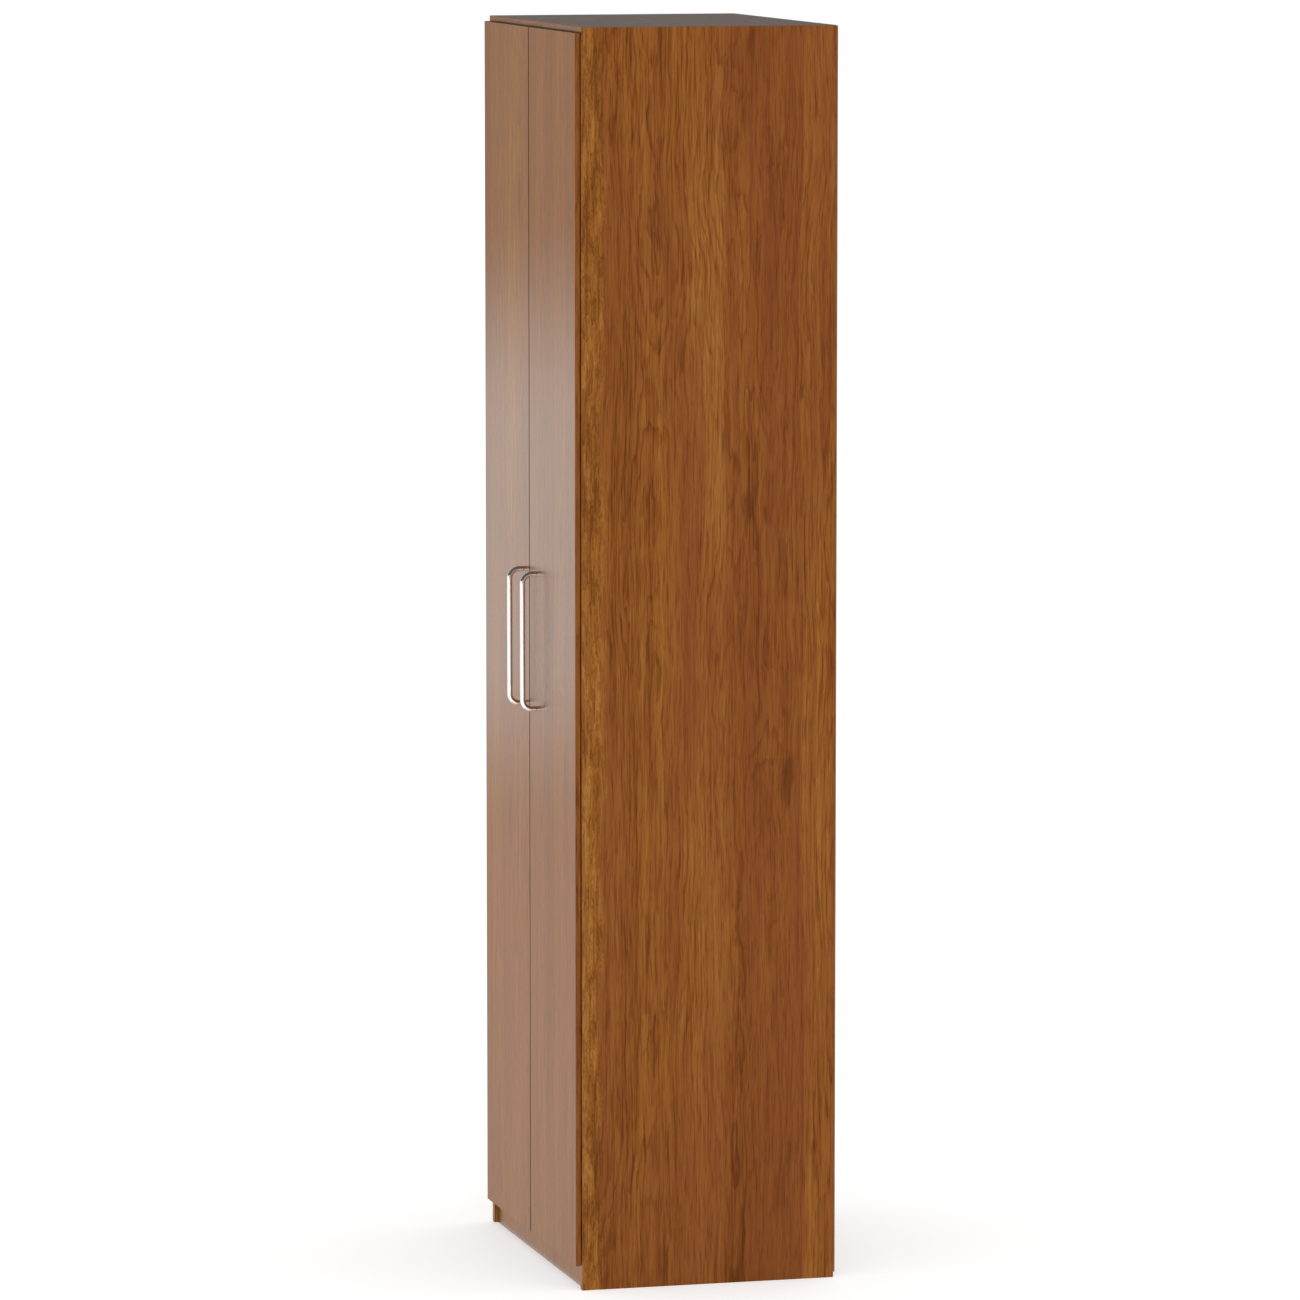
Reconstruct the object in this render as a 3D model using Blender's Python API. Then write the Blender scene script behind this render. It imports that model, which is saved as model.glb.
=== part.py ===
"""Two-door wardrobe: a laminated carcass, two overlay doors, bow handles and concealed hinges.

Metres, +Z up, front towards -Y. The floor is Z = 0 and the middle of the overall box is X = Y = 0.
"""

import math

import bmesh
import bpy
from mathutils import Matrix, Vector

# Carcass boards
WIDTH = 0.700
HEIGHT = 2.350
DEPTH = 0.490
SIDE_THICKNESS = 0.016
TOP_THICKNESS = 0.016
BOTTOM_THICKNESS = 0.016
SHELF_THICKNESS = 0.016
PLINTH_THICKNESS = 0.016
BACK_THICKNESS = 0.003
BOARD_EDGE_BREAK = 0.0005
SEAT_GAP = 0.0003

# Levels and setbacks inside the carcass
PLINTH_HEIGHT = 0.050
PLINTH_SETBACK = 0.0062
REAR_PLINTH_INSET = 0.020
BACK_LIFT = 0.010
BACK_MARGIN = 0.001
HAT_SHELF_BELOW_TOP = 0.390
SHOE_SHELF_HEIGHT = 0.340
SHELF_SETBACK = 0.024

# Hanging rail, an upright oval tube held in two sockets
RAIL_BELOW_SHELF = 0.060
RAIL_TALL = 0.030
RAIL_THICK = 0.015
RAIL_WALL = 0.0012
RAIL_FROM_FRONT = 0.245
SOCKET_BASE = 0.0025
SOCKET_REACH = 0.012
SOCKET_WALL = 0.0022
SOCKET_FLANGE = 0.0060

# Doors
DOOR_THICKNESS = 0.010
DOOR_GAP = 0.002
DOOR_SIDE_REVEAL = 0.005
DOOR_TOP_REVEAL = 0.0104
DOOR_BOTTOM = 0.0457
DOOR_SEAM = 0.003

# Bow handles, bent from round bar
HANDLE_ROD = 0.010
HANDLE_CENTRES = 0.256
HANDLE_STANDOFF = 0.026
HANDLE_BEND = 0.0175
HANDLE_FROM_MIDDLE = 0.050
HANDLE_HEIGHT = 1.186
HANDLE_SIDES = 16
HANDLE_BEND_STEPS = 7

# Handle screws
SCREW_SHANK = 0.0040
SCREW_HEAD = 0.0085
SCREW_HEAD_TALL = 0.0024
SCREW_HEAD_RIM = 0.0014
SCREW_HEAD_CROWN = 0.0060
SCREW_SIDES = 12
SCREW_BITE = 0.0100
SCREW_CLEARANCE = 0.0003
SCREW_BORE_SPARE = 0.0020

# Concealed hinges, spread evenly between the lowest and the highest on each door
HINGE_COUNT = 4
HINGE_FROM_DOOR_END = 0.0995

# Hinge pivots, measured inwards from the cup's rim beside the door edge and backwards from the door
ARM_OUTER_PIN = (0.03394, 0.00784)
ARM_INNER_PIN = (0.03079, -0.00350)
CUP_PIN = (0.00651, -0.00150)
CUP_OPEN_EYE = (0.01046, -0.00150)
PIN_RADIUS = 0.0012
PIN_CLEARANCE = 0.00025
PIN_SIDES = 8

# Hinge cup, with the board that is left beside its hole and in front of it
CUP_FROM_DOOR_EDGE = 0.0050
CUP_DOOR_SKIN = 0.0017
CUP_RADIUS = 0.0175
CUP_WALL = 0.0010
CUP_FLOOR = 0.0008
CUP_FLOOR_BREAK = 0.0005
CUP_HOLE_CLEARANCE = 0.0003
CUP_LIP = 0.0011
CUP_FLANGE = 0.0008
CUP_SIDES = 20
CUP_WING_REACH = 0.0275
CUP_WING_SETBACK = 0.0035
CUP_WING_BROAD = 0.0120
CUP_WING_CORNER = 0.0040
CUP_LUG_HALF = 0.0021
CUP_LUG_ABOVE_PIN = 0.0013
CUP_NOTCH_REACH = 0.0038
CUP_NOTCH_HALF = 0.0072
CUP_NOTCH_DEPTH = 0.0018

# Hinge layers, measured up and down from the middle of the hinge
INNER_LINK_HALF = 0.0031
ARM_CHEEK_IN = 0.0034
ARM_CHEEK_OUT = 0.0048
OUTER_LINK_IN = 0.0051
OUTER_LINK_OUT = 0.0067
CUP_LUG_IN = 0.0070
CUP_LUG_OUT = 0.0082

# Hinge links
OUTER_EYE_ARM = 0.0023
OUTER_EYE_CUP = 0.0020
OUTER_LINK_HALF = 0.0013
OUTER_BAR_LONG = 0.0050
OUTER_BAR_THICK = 0.0024
INNER_EYE_ARM = 0.0022
INNER_EYE_CUP = 0.0020
INNER_LINK_WAIST = 0.0012

# Hinge arm: a channel over the mounting plate, with a cranked fork that carries both pins
ARM_FRONT = 0.012
ARM_REAR = 0.062
ARM_LIFT = 0.0032
ARM_HIGH = 0.0144
ARM_SHEET = 0.0015
ARM_CHANNEL_IN = 0.0070
ARM_CHANNEL_OUT = 0.0084

# Fork outline, inwards and backwards from the channel's front corner and from each pin
FORK_AT_CHANNEL = ((0.0090, 0.0120), (0.0090, 0.0260), (0.0140, 0.0260))
FORK_AT_OUTER_PIN = ((0.0022, 0.0042), (0.0024, -0.0028))
FORK_AT_INNER_PIN = (
    (0.0019, 0.0045), (0.0019, -0.0007), (0.0009, -0.0019), (-0.0013, -0.0019), (-0.0022, -0.0005),
    (-0.0018, 0.0075),
)
FORK_HEEL = (-0.0079, 0.0022)

# Hinge mounting plate, seated on the side panel
PLATE_HIGH = 0.0126
PLATE_FRONT = 0.016
PLATE_REAR = 0.060
PLATE_HALF = 0.0067
WING_HIGH = 0.0028
WING_FRONT = 0.0315
WING_REAR = 0.0425
WING_HALF = 0.0250
WING_SCREW_AT = 0.016
WING_SCREW_RADIUS = 0.0040
WING_SCREW_TALL = 0.0014

# How far a cutting shape runs past the faces that it opens
CUT_OVERRUN = 0.002

# Derived planes
HANDLE_PROJECTION = HANDLE_STANDOFF + HANDLE_ROD / 2
FRONT = -(DEPTH - (DOOR_GAP + DOOR_THICKNESS + HANDLE_PROJECTION)) / 2
BOARD_REAR = FRONT + DEPTH - BACK_THICKNESS - SEAT_GAP
DOOR_INNER = FRONT - DOOR_GAP
DOOR_OUTER = DOOR_INNER - DOOR_THICKNESS
DOOR_TOP = HEIGHT - DOOR_TOP_REVEAL
INSIDE = WIDTH / 2 - SIDE_THICKNESS
HAT_SHELF_HEIGHT = HEIGHT - HAT_SHELF_BELOW_TOP
RAIL_HEIGHT = HAT_SHELF_HEIGHT - RAIL_BELOW_SHELF
CUP_DEPTH = DOOR_THICKNESS - CUP_DOOR_SKIN - CUP_HOLE_CLEARANCE
CUP_RIM_INSET = DOOR_SIDE_REVEAL + CUP_FROM_DOOR_EDGE
HINGE_LOWEST = DOOR_BOTTOM + HINGE_FROM_DOOR_END
HINGE_HIGHEST = DOOR_TOP - HINGE_FROM_DOOR_END
HINGE_STEP = (HINGE_HIGHEST - HINGE_LOWEST) / (HINGE_COUNT - 1)
HINGE_HEIGHTS = [HINGE_LOWEST + HINGE_STEP * i for i in range(HINGE_COUNT)]

# Colour, roughness and metallic value of each surface
SURFACES = {
    "laminate": ((0.266, 0.107, 0.021), 0.42, 0.0),
    "door_laminate": ((0.300, 0.128, 0.036), 0.18, 0.0),
    "fibreboard": ((0.230, 0.115, 0.045), 0.70, 0.0),
    "chrome": ((0.830, 0.820, 0.800), 0.10, 1.0),
    "nickel": ((0.620, 0.600, 0.560), 0.28, 1.0),
    "zinc": ((0.520, 0.520, 0.510), 0.38, 1.0),
}


def along_z(a, b, h):
    """Outline lies flat, thickness runs upwards."""
    return Vector((a, b, h))


def along_y(a, b, h):
    """Outline lies in the upright front plane, thickness runs backwards."""
    return Vector((a, h, b))


def along_x(a, b, h):
    """Outline lies in the upright side plane, thickness runs sideways."""
    return Vector((h, a, b))


def from_rim(point):
    """Right-hand hinge point, from distances inwards of the cup's rim and behind the door."""
    return (-point[0], point[1])


def from_side(inward, back):
    """Right-hand hinge point, from distances off the side panel's inner face and front edge."""
    return (CUP_RIM_INSET - SIDE_THICKNESS - inward, DOOR_GAP + back)


def hinge_place(side, height=0.0):
    """Where a hinge's own zero lies: the cup's rim, the door's inner face and a height."""
    return Vector((side * (WIDTH / 2 - CUP_RIM_INSET), DOOR_INNER, height))


def mesh_of(bm, smooth=False):
    """Closed mesh with its faces turned outwards."""
    bmesh.ops.recalc_face_normals(bm, faces=bm.faces[:])
    mesh = bpy.data.meshes.new("solid")
    bm.to_mesh(mesh)
    bm.free()
    if smooth:
        mesh.shade_smooth()
        mesh.set_sharp_from_angle(angle=math.radians(40))
    return mesh


def block(low, high, edge_break=0.0):
    """Rectangular board between two corners, its edges broken by a small chamfer."""
    bm = bmesh.new()
    bmesh.ops.create_cube(bm, size=1.0)
    low = Vector(low)
    high = Vector(high)
    span = high - low
    for v in bm.verts:
        v.co = low + Vector(((v.co.x + 0.5) * span.x, (v.co.y + 0.5) * span.y, (v.co.z + 0.5) * span.z))
    if edge_break:
        bmesh.ops.bevel(bm, geom=bm.edges[:], offset=edge_break, segments=1, affect="EDGES")
    return mesh_of(bm)


def prism(outline, low, high, place, holes=()):
    """Solid with a flat outline and any number of holes, between two levels."""
    bm = bmesh.new()
    edges = []
    for loop in (outline, *holes):
        ring = [bm.verts.new(place(a, b, low)) for a, b in loop]
        edges += [bm.edges.new((ring[i - 1], ring[i])) for i in range(len(ring))]
    flat = bmesh.ops.triangle_fill(bm, edges=edges, use_beauty=True)
    faces = [g for g in flat["geom"] if isinstance(g, bmesh.types.BMFace)]
    raised = bmesh.ops.extrude_face_region(bm, geom=faces)
    verts = [g for g in raised["geom"] if isinstance(g, bmesh.types.BMVert)]
    bmesh.ops.translate(bm, verts=verts, vec=place(0, 0, high) - place(0, 0, low))
    return mesh_of(bm)


def circle(centre, radius, sides, turn=0.0):
    """Points of a regular outline round a centre."""
    steps = [turn + 2 * math.pi * i / sides for i in range(sides)]
    return [(centre[0] + radius * math.cos(t), centre[1] + radius * math.sin(t)) for t in steps]


def oval(centre, thick, tall, sides=8):
    """Upright oval: two half rounds joined by straight flanks."""
    r = thick / 2
    lift = tall / 2 - r
    points = []
    for i in range(sides + 1):
        t = math.pi * i / sides
        points.append((centre[0] + r * math.cos(t), centre[1] + lift + r * math.sin(t)))
    for i in range(sides + 1):
        t = math.pi + math.pi * i / sides
        points.append((centre[0] + r * math.cos(t), centre[1] - lift + r * math.sin(t)))
    return points


def link_outline(start, end, start_eye, end_eye, waist, sides=7):
    """Two round eyes joined by a straight waist."""
    heading = math.atan2(end[1] - start[1], end[0] - start[0])
    points = []
    for centre, eye, facing in ((start, start_eye, heading), (end, end_eye, heading + math.pi)):
        open_half = math.asin(waist / eye)
        for i in range(sides + 1):
            t = facing + open_half + (2 * math.pi - 2 * open_half) * i / sides
            points.append((centre[0] + eye * math.cos(t), centre[1] + eye * math.sin(t)))
    return points


def turned(profile, sides, place):
    """Solid of revolution: profile of (radius, height) pairs round the placed axis."""
    bm = bmesh.new()
    rings = []
    for radius, height in profile:
        if radius == 0:
            rings.append([bm.verts.new(place(0, 0, height))])
        else:
            rings.append([bm.verts.new(place(a, b, height)) for a, b in circle((0, 0), radius, sides)])
    for lower, upper in zip(rings, rings[1:]):
        for i in range(sides):
            k = (i + 1) % sides
            if len(lower) == 1:
                bm.faces.new((lower[0], upper[i], upper[k]))
            elif len(upper) == 1:
                bm.faces.new((lower[i], lower[k], upper[0]))
            else:
                bm.faces.new((lower[i], lower[k], upper[k], upper[i]))
    return mesh_of(bm)


def worked(base, *steps):
    """Base solid with further solids joined to it or cut from it, in order."""
    held = bpy.data.objects.new("held", base)
    bpy.context.scene.collection.objects.link(held)
    tools = []
    for operation, mesh in steps:
        tool = bpy.data.objects.new("tool", mesh)
        bpy.context.scene.collection.objects.link(tool)
        modifier = held.modifiers.new("work", "BOOLEAN")
        modifier.operation = operation
        modifier.solver = "EXACT"
        modifier.object = tool
        tools.append(tool)
    graph = bpy.context.evaluated_depsgraph_get()
    result = bpy.data.meshes.new_from_object(held.evaluated_get(graph))
    for used in (held, *tools):
        bpy.data.objects.remove(used, do_unlink=True)
    bm = bmesh.new()
    bm.from_mesh(result)
    bmesh.ops.remove_doubles(bm, verts=bm.verts[:], dist=1e-6)
    bmesh.ops.dissolve_limit(bm, angle_limit=0.002, verts=bm.verts[:], edges=bm.edges[:])
    bmesh.ops.triangulate(bm, faces=[f for f in bm.faces if len(f.verts) > 4])
    return mesh_of(bm, smooth=True)


def handed(mesh, side, place=(0, 0, 0)):
    """Copy of a right-hand piece, mirrored when it belongs on the left, then moved to its place."""
    bm = bmesh.new()
    bm.from_mesh(mesh)
    bmesh.ops.scale(bm, vec=(side, 1, 1), verts=bm.verts[:])
    bmesh.ops.translate(bm, vec=place, verts=bm.verts[:])
    return mesh_of(bm, smooth=True)


def axis_empty(name, point, side):
    """Upright pivot line that a group of moving pieces hangs on."""
    x, y = from_rim(point)
    empty = bpy.data.objects.new(name, None)
    empty.location = hinge_place(side) + Vector((side * x, y, 0.0))
    bpy.context.scene.collection.objects.link(empty)
    return empty


def add_piece(name, mesh, surface, origin, pivot=None):
    """Named piece with its own surface, standing at its origin."""
    origin = Vector(origin)
    mesh.transform(Matrix.Translation(-origin))
    mesh.name = name
    colour, roughness, metallic = SURFACES[surface]
    material = bpy.data.materials.new(name)
    material.use_nodes = True
    shader = material.node_tree.nodes["Principled BSDF"]
    shader.inputs["Base Color"].default_value = (*colour, 1.0)
    shader.inputs["Roughness"].default_value = roughness
    shader.inputs["Metallic"].default_value = metallic
    mesh.materials.clear()
    mesh.materials.append(material)
    piece = bpy.data.objects.new(name, mesh)
    bpy.context.scene.collection.objects.link(piece)
    if pivot:
        piece.parent = pivot
        origin = origin - Vector(pivot.location)
    piece.location = origin
    return piece


def add_board(name, low, high, surface="laminate"):
    """Fixed board between two corners."""
    middle = (Vector(low) + Vector(high)) / 2
    add_piece(name, block(low, high, BOARD_EDGE_BREAK), surface, middle)


def build_carcass():
    """Sides from floor to top, with the other boards seated between them."""
    span = INSIDE - SEAT_GAP
    for side, name in ((-1, "left_side_panel"), (1, "right_side_panel")):
        x = sorted((side * INSIDE, side * WIDTH / 2))
        add_board(name, (x[0], FRONT, 0), (x[1], BOARD_REAR, HEIGHT))
    add_board("top_panel", (-span, FRONT, HEIGHT - TOP_THICKNESS), (span, BOARD_REAR, HEIGHT))
    add_board(
        "bottom_panel", (-span, FRONT, PLINTH_HEIGHT), (span, BOARD_REAR, PLINTH_HEIGHT + BOTTOM_THICKNESS)
    )
    plinth_top = PLINTH_HEIGHT - SEAT_GAP
    plinth = FRONT + PLINTH_SETBACK
    add_board("front_plinth", (-span, plinth, 0), (span, plinth + PLINTH_THICKNESS, plinth_top))
    rear = BOARD_REAR - REAR_PLINTH_INSET
    add_board("rear_plinth", (-span, rear - PLINTH_THICKNESS, 0), (span, rear, plinth_top))
    for name, level in (("hat_shelf", HAT_SHELF_HEIGHT), ("shoe_shelf", SHOE_SHELF_HEIGHT)):
        add_board(name, (-span, FRONT + SHELF_SETBACK, level), (span, BOARD_REAR, level + SHELF_THICKNESS))
    back = WIDTH / 2 - BACK_MARGIN
    add_board(
        "back_panel",
        (-back, FRONT + DEPTH - BACK_THICKNESS, BACK_LIFT),
        (back, FRONT + DEPTH, HEIGHT - BACK_MARGIN),
        "fibreboard",
    )


def build_rail():
    """Oval tube whose ends sit in a socket on each side panel."""
    centre = (FRONT + RAIL_FROM_FRONT, RAIL_HEIGHT)
    end = INSIDE - SEAT_GAP - SOCKET_BASE - SEAT_GAP
    bore = oval(centre, RAIL_THICK - 2 * RAIL_WALL, RAIL_TALL - 2 * RAIL_WALL)
    tube = prism(oval(centre, RAIL_THICK, RAIL_TALL), -end, end, along_x, [bore])
    tube.shade_smooth()
    tube.set_sharp_from_angle(angle=math.radians(40))
    add_piece("hanging_rail", tube, "chrome", (0, *centre))
    thick = RAIL_THICK + 2 * SEAT_GAP
    tall = RAIL_TALL + 2 * SEAT_GAP
    base_high = INSIDE - SEAT_GAP
    base_low = base_high - SOCKET_BASE
    base = prism(
        oval(centre, thick + 2 * SOCKET_FLANGE, tall + 2 * SOCKET_FLANGE), base_low, base_high, along_x
    )
    collar = prism(
        oval(centre, thick + 2 * SOCKET_WALL, tall + 2 * SOCKET_WALL),
        base_high - SOCKET_REACH, base_high - SOCKET_BASE / 2, along_x,
    )
    mouth = prism(oval(centre, thick, tall), base_high - 2 * SOCKET_REACH, base_low, along_x)
    socket = worked(base, ("UNION", collar), ("DIFFERENCE", mouth))
    for side, name in ((-1, "left_rail_socket"), (1, "right_rail_socket")):
        add_piece(name, handed(socket, side), "nickel", (side * base_high, *centre))


def cup_solid():
    """Shallow cup sunk into the door: screw flange, rim notch for the open link, lugs with pivot stubs."""
    lip = SEAT_GAP
    face = lip + CUP_FLANGE
    floor = -CUP_DEPTH

    def on_cup(a, b, h):
        return Vector((a - CUP_RADIUS, h, b))

    body = turned(
        [
            (0, floor), (CUP_RADIUS - CUP_FLOOR_BREAK, floor), (CUP_RADIUS, floor + CUP_FLOOR_BREAK),
            (CUP_RADIUS, lip), (CUP_RADIUS + CUP_LIP, lip), (CUP_RADIUS + CUP_LIP, face), (0, face),
        ],
        CUP_SIDES, on_cup,
    )
    near = -CUP_RADIUS - CUP_WING_SETBACK
    far = near - CUP_WING_BROAD
    side = CUP_WING_REACH - CUP_WING_CORNER
    wing = prism(
        [
            (near, -side), (near, side), (near - CUP_WING_CORNER, CUP_WING_REACH),
            (far + CUP_WING_CORNER, CUP_WING_REACH), (far, side), (far, -side),
            (far + CUP_WING_CORNER, -CUP_WING_REACH), (near - CUP_WING_CORNER, -CUP_WING_REACH),
        ],
        lip, face, along_y,
    )
    bore = CUP_RADIUS - CUP_WALL
    mouth = face + CUT_OVERRUN
    hollow = turned(
        [(0, floor + CUP_FLOOR), (bore, floor + CUP_FLOOR), (bore, mouth), (0, mouth)], CUP_SIDES, on_cup
    )
    notch = block(
        (-CUP_NOTCH_REACH, -CUP_NOTCH_DEPTH, -CUP_NOTCH_HALF), (CUP_LIP + CUT_OVERRUN, mouth, CUP_NOTCH_HALF)
    )
    steps = [("UNION", wing), ("DIFFERENCE", hollow), ("DIFFERENCE", notch)]
    pin = from_rim(CUP_PIN)
    lug_top = pin[1] + CUP_LUG_ABOVE_PIN
    for way in (-1, 1):
        z = sorted((way * CUP_LUG_IN, way * CUP_LUG_OUT))
        lug = block(
            (pin[0] - CUP_LUG_HALF, floor + CUP_FLOOR / 2, z[0]), (pin[0] + CUP_LUG_HALF, lug_top, z[1])
        )
        steps.append(("UNION", lug))
        stub_z = sorted((way * OUTER_LINK_IN, way * (CUP_LUG_IN + CUP_LUG_OUT) / 2))
        steps.append(("UNION", prism(circle(pin, PIN_RADIUS, PIN_SIDES), *stub_z, along_z)))
    return worked(body, *steps)


def fork_outline():
    """Cheek of the arm's fork: out of the channel, round the outer pin and on to the inner pin."""
    outer_x, outer_y = ARM_OUTER_PIN
    inner_x, inner_y = ARM_INNER_PIN
    outline = [from_side(*p) for p in FORK_AT_CHANNEL]
    outline += [from_rim((outer_x + x, outer_y + y)) for x, y in FORK_AT_OUTER_PIN]
    outline += [from_rim((inner_x + x, inner_y + y)) for x, y in FORK_AT_INNER_PIN]
    outline.append(from_rim((outer_x + FORK_HEEL[0], outer_y + FORK_HEEL[1])))
    return outline


def arm_solid():
    """Pressed arm: a channel that straddles the plate and a cranked fork with its two pins."""
    right, front = from_side(ARM_LIFT, ARM_FRONT)
    left, rear = from_side(ARM_HIGH, ARM_REAR)
    web = block((left, front, -ARM_CHANNEL_OUT), (left + ARM_SHEET, rear, ARM_CHANNEL_OUT))
    fork = fork_outline()
    steps = []
    for way in (-1, 1):
        z = sorted((way * ARM_CHANNEL_IN, way * ARM_CHANNEL_OUT))
        steps.append(("UNION", block((left + ARM_SHEET / 3, front, z[0]), (right, rear, z[1]))))
        z = sorted((way * ARM_CHEEK_IN, way * ARM_CHEEK_OUT))
        steps.append(("UNION", prism(fork, z[0], z[1], along_z)))
    outer = circle(from_rim(ARM_OUTER_PIN), PIN_RADIUS, PIN_SIDES)
    inner = circle(from_rim(ARM_INNER_PIN), PIN_RADIUS, PIN_SIDES)
    steps.append(("UNION", prism(outer, -OUTER_LINK_OUT, OUTER_LINK_OUT, along_z)))
    half = (ARM_CHEEK_IN + ARM_CHEEK_OUT) / 2
    steps.append(("UNION", prism(inner, -half, half, along_z)))
    room = PLATE_HALF + SEAT_GAP
    relief = block(
        (left + ARM_SHEET, DOOR_GAP + PLATE_FRONT - SEAT_GAP, -room),
        (right + CUT_OVERRUN, rear + CUT_OVERRUN, room),
    )
    return worked(web, *steps, ("DIFFERENCE", relief))


def plate_solid():
    """Cross-shaped mounting plate with a raised rib and two screw heads."""
    base, rib_front = from_side(SEAT_GAP, PLATE_FRONT)
    rib_top, rib_rear = from_side(PLATE_HIGH, PLATE_REAR)
    wing_top, wing_front = from_side(WING_HIGH, WING_FRONT)
    wing_rear = wing_front + WING_REAR - WING_FRONT
    rib = block((rib_top, rib_front, -PLATE_HALF), (base, rib_rear, PLATE_HALF))
    wing = block((wing_top, wing_front, -WING_HALF), (base, wing_rear, WING_HALF))
    steps = [("UNION", wing)]
    sunk = (base - wing_top) / 2
    for way in (-1, 1):
        head = circle(((wing_front + wing_rear) / 2, way * WING_SCREW_AT), WING_SCREW_RADIUS, SCREW_SIDES)
        steps.append(("UNION", prism(head, wing_top - WING_SCREW_TALL, wing_top + sunk, along_x)))
    return worked(rib, *steps)


def outer_link_solid():
    """Two cheeks between the arm's outer pin and the cup's stubs, joined by a cross bar."""
    start = from_rim(ARM_OUTER_PIN)
    end = from_rim(CUP_PIN)
    outline = link_outline(start, end, OUTER_EYE_ARM, OUTER_EYE_CUP, OUTER_LINK_HALF)
    bore = PIN_RADIUS + PIN_CLEARANCE
    holes = [circle(start, bore, PIN_SIDES), circle(end, bore, PIN_SIDES)]
    lower = prism(outline, -OUTER_LINK_OUT, -OUTER_LINK_IN, along_z, holes)
    upper = prism(outline, OUTER_LINK_IN, OUTER_LINK_OUT, along_z, holes)
    run = Vector(end) - Vector(start)
    ahead = run.normalized()
    back = Vector((ahead.y, -ahead.x))
    if back.y < 0:
        back = -back
    middle = Vector(start) + run / 2
    corners = []
    for along, off in ((-1, 0), (1, 0), (1, 1), (-1, 1)):
        corners.append(tuple(middle + ahead * along * OUTER_BAR_LONG / 2 + back * off * OUTER_BAR_THICK))
    bar = prism(corners, -OUTER_LINK_OUT, OUTER_LINK_OUT, along_z)
    return worked(bar, ("UNION", lower), ("UNION", upper))


def inner_link_solid():
    """Single link between the arm's inner pin and the open eye inside the cup."""
    start = from_rim(ARM_INNER_PIN)
    end = from_rim(CUP_OPEN_EYE)
    outline = link_outline(start, end, INNER_EYE_ARM, INNER_EYE_CUP, INNER_LINK_WAIST)
    bore = PIN_RADIUS + PIN_CLEARANCE
    holes = [circle(start, bore, PIN_SIDES), circle(end, PIN_RADIUS, PIN_SIDES)]
    return prism(outline, -INNER_LINK_HALF, INNER_LINK_HALF, along_z, holes)


def handle_path():
    """Centre line of the bow, from the lower foot to the upper foot: (distance out, height, outward turn)."""
    half = HANDLE_CENTRES / 2
    foot = SEAT_GAP
    path = [(foot, -half, -math.pi / 2)]
    for i in range(HANDLE_BEND_STEPS + 1):
        t = -math.pi / 2 + math.pi / 2 * i / HANDLE_BEND_STEPS
        out = HANDLE_STANDOFF - HANDLE_BEND + HANDLE_BEND * math.cos(t)
        path.append((out, -half + HANDLE_BEND + HANDLE_BEND * math.sin(t), t))
    for out, height, t in reversed(path[:]):
        path.append((out, -height, -t))
    return path


def handle_solid(x):
    """Round bar bent into a bow, with a screw bore in each foot."""
    bm = bmesh.new()
    rings = []
    for out, height, t in handle_path():
        ring = []
        for i in range(HANDLE_SIDES):
            u = 2 * math.pi * i / HANDLE_SIDES
            outward = HANDLE_ROD / 2 * math.cos(u)
            y = DOOR_OUTER - out - outward * math.cos(t)
            z = HANDLE_HEIGHT + height + outward * math.sin(t)
            ring.append(bm.verts.new((x + HANDLE_ROD / 2 * math.sin(u), y, z)))
        rings.append(ring)
    for lower, upper in zip(rings, rings[1:]):
        for i in range(HANDLE_SIDES):
            k = (i + 1) % HANDLE_SIDES
            bm.faces.new((lower[i], lower[k], upper[k], upper[i]))
    bm.faces.new(rings[0])
    bm.faces.new(rings[-1])
    bar = mesh_of(bm)
    depth = SCREW_BITE + SCREW_BORE_SPARE
    steps = []
    for way in (-1, 1):
        foot = (x, HANDLE_HEIGHT + way * HANDLE_CENTRES / 2)
        bore = circle(foot, SCREW_SHANK / 2 + SCREW_CLEARANCE, SCREW_SIDES)
        steps.append(("DIFFERENCE", prism(bore, DOOR_OUTER - depth, DOOR_OUTER + CUT_OVERRUN, along_y)))
    return worked(bar, *steps)


def screw_solid(x, z):
    """Pan-head screw, its head inside the door and its shank in the handle's foot."""
    seat = DOOR_INNER + SEAT_GAP
    tip = DOOR_OUTER - SCREW_BITE
    head = SCREW_HEAD / 2
    shank = SCREW_SHANK / 2

    def on_screw(a, b, h):
        return Vector((x + a, h, z + b))

    solid = turned(
        [
            (0, tip), (shank, tip), (shank, seat), (head, seat), (head, seat + SCREW_HEAD_RIM),
            (SCREW_HEAD_CROWN / 2, seat + SCREW_HEAD_TALL), (0, seat + SCREW_HEAD_TALL),
        ],
        SCREW_SIDES, on_screw,
    )
    solid.shade_smooth()
    solid.set_sharp_from_angle(angle=math.radians(40))
    return solid


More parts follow.
